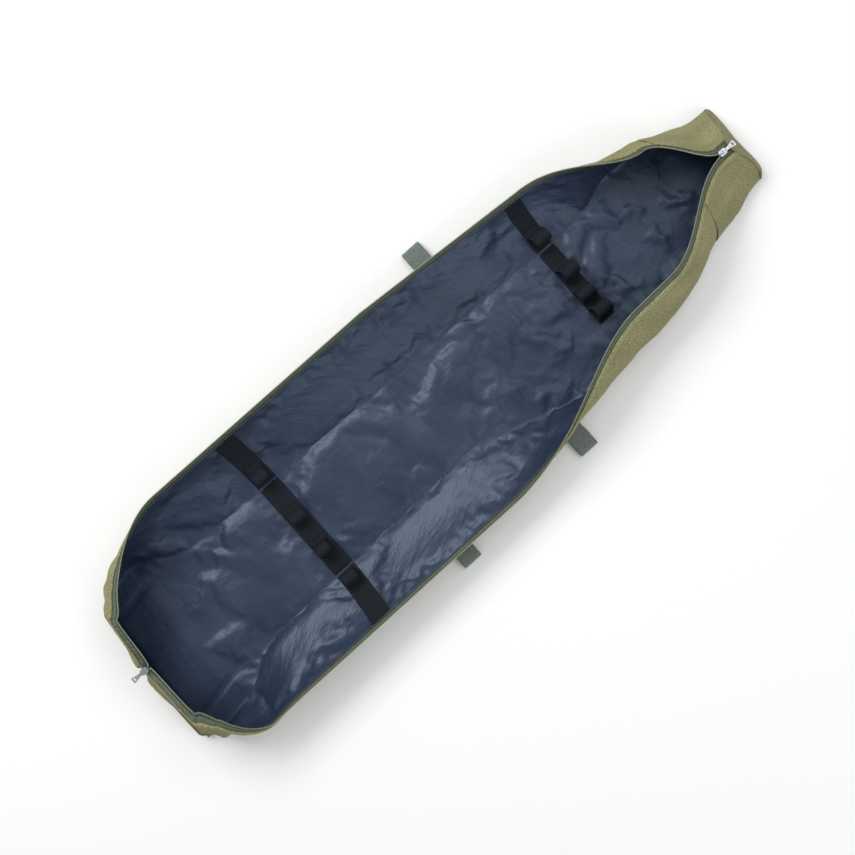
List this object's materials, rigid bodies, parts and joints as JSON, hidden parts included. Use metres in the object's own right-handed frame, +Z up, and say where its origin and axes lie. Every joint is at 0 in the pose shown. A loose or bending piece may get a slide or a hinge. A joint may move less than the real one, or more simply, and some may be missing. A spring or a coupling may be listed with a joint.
{
  "type": "rod case",
  "caption": "Long tapered padded fabric rod case, unzipped and open, with straps of rod loops across the inside and carry handles.",
  "frame": {"origin": "middle of the case's underside, on the surface it lies on", "axes": "+X from the wide bottom end to the narrow top end, +Y the left side, +Z up out of the open mouth"},
  "size_m": [1.403, 0.4862, 0.1418],
  "materials": {
    "olive_fabric": "matt heathered weave",
    "lining": "satin nylon, creased",
    "zip_tape": "matt knitted tape",
    "zip_coil": "semi-matt nylon coil",
    "black_webbing": "matt woven elastic",
    "grey_webbing": "matt woven webbing",
    "silver_metal": "nickel-plated die casting"
  },
  "bodies": {
    "base": {"base_outer": "olive_fabric", "base_lining": "lining", "bottom_end_outer": "olive_fabric", "bottom_end_lining": "lining", "top_end_outer": "olive_fabric", "top_end_lining": "lining", "lower_base_web": "black_webbing", "upper_base_web": "black_webbing", "lower_base_loop_1": "black_webbing", "lower_base_loop_2": "black_webbing", "upper_base_loop_1": "black_webbing", "upper_base_loop_2": "black_webbing", "upper_base_loop_3": "black_webbing"},
    "left_lift": {"left_bottom_outer": "olive_fabric", "left_bottom_lining": "lining", "left_bottom_tape": "zip_tape", "left_bottom_coil": "zip_coil", "left_upper_outer": "olive_fabric", "left_upper_lining": "lining", "left_upper_tape": "zip_tape", "left_upper_coil": "zip_coil", "left_cap_outer": "olive_fabric"},
    "left_wall": {"left_middle_outer": "olive_fabric", "left_middle_lining": "lining", "left_middle_tape": "zip_tape", "left_middle_coil": "zip_coil", "lower_left_web": "black_webbing", "upper_left_web": "black_webbing", "lower_left_loop": "black_webbing", "upper_left_loop": "black_webbing"},
    "right_lift": {"right_bottom_outer": "olive_fabric", "right_bottom_lining": "lining", "right_bottom_tape": "zip_tape", "right_bottom_coil": "zip_coil", "right_upper_outer": "olive_fabric", "right_upper_lining": "lining", "right_upper_tape": "zip_tape", "right_upper_coil": "zip_coil", "right_cap_outer": "olive_fabric"},
    "right_wall": {"right_middle_outer": "olive_fabric", "right_middle_lining": "lining", "right_middle_tape": "zip_tape", "right_middle_coil": "zip_coil", "lower_right_web": "black_webbing", "lower_right_loop": "black_webbing"},
    "left_handle": {"left_handle": "grey_webbing"},
    "right_handle": {"right_handle": "grey_webbing"},
    "bottom_slider": {"bottom_slider": "silver_metal"},
    "top_slider": {"top_slider": "silver_metal"},
    "bottom_pull": {"bottom_pull": "silver_metal"},
    "top_pull": {"top_pull": "silver_metal"}
  },
  "joints": [
    {"name": "left_lift_hinge", "type": "hinge", "parent": "base", "child": "left_lift", "pos_m": [0, 0.093, 0.0055], "axis": [0.9996, -0.028, 0], "range_deg": [0, 50], "deforming": ["left_bottom_outer", "left_bottom_lining", "left_bottom_tape", "left_bottom_coil", "left_upper_outer", "left_upper_lining", "left_upper_tape", "left_upper_coil", "left_cap_outer"]},
    {"name": "left_roll_hinge", "type": "hinge", "parent": "left_lift", "child": "left_wall", "pos_m": [0, 0.093, 0.0055], "axis": [0.9996, -0.028, 0], "range_deg": [0, 53], "deforming": ["lower_left_loop", "upper_left_loop"]},
    {"name": "right_lift_hinge", "type": "hinge", "parent": "base", "child": "right_lift", "pos_m": [0, -0.093, 0.0055], "axis": [-0.9996, -0.028, 0], "range_deg": [0, 50], "deforming": ["right_bottom_outer", "right_bottom_lining", "right_bottom_tape", "right_bottom_coil", "right_upper_outer", "right_upper_lining", "right_upper_tape", "right_upper_coil", "right_cap_outer"]},
    {"name": "right_roll_hinge", "type": "hinge", "parent": "right_lift", "child": "right_wall", "pos_m": [0, -0.093, 0.0055], "axis": [-0.9996, -0.028, 0], "range_deg": [0, 53], "deforming": ["lower_right_loop"]},
    {"name": "left_handle_hinge", "type": "hinge", "parent": "base", "child": "left_handle", "pos_m": [0, 0.093, 0.0018], "axis": [0.9996, -0.028, 0], "range_deg": [0, 72]},
    {"name": "right_handle_hinge", "type": "hinge", "parent": "base", "child": "right_handle", "pos_m": [0, -0.093, 0.0018], "axis": [-0.9996, -0.028, 0], "range_deg": [0, 72]},
    {"name": "bottom_slide", "type": "slide", "parent": "base", "child": "bottom_slider", "axis": [0.9995, 0, 0.032], "range_m": [0, 0.648]},
    {"name": "top_slide", "type": "slide", "parent": "base", "child": "top_slider", "axis": [-0.9993, 0, 0.038], "range_m": [0, 0.61]},
    {"name": "bottom_pull_hinge", "type": "hinge", "parent": "bottom_slider", "child": "bottom_pull", "pos_m": [-0.67907, 0, 0.08867], "axis": [0, 1, 0], "range_deg": [0, 135]},
    {"name": "top_pull_hinge", "type": "hinge", "parent": "top_slider", "child": "top_pull", "pos_m": [0.6404, 0, 0.08607], "axis": [0, -1, 0], "range_deg": [0, 135]}
  ],
  "couplings": [
    {"joint": "left_roll_hinge", "follows": "left_lift_hinge", "ratio": 1.06},
    {"joint": "right_lift_hinge", "follows": "left_lift_hinge", "ratio": 1},
    {"joint": "right_roll_hinge", "follows": "left_lift_hinge", "ratio": 1.06},
    {"joint": "left_handle_hinge", "follows": "left_lift_hinge", "ratio": 1.44},
    {"joint": "right_handle_hinge", "follows": "left_lift_hinge", "ratio": 1.44},
    {"joint": "bottom_slide", "follows": "left_lift_hinge", "m_per_rad": 0.742},
    {"joint": "top_slide", "follows": "left_lift_hinge", "m_per_rad": 0.6985}
  ]
}
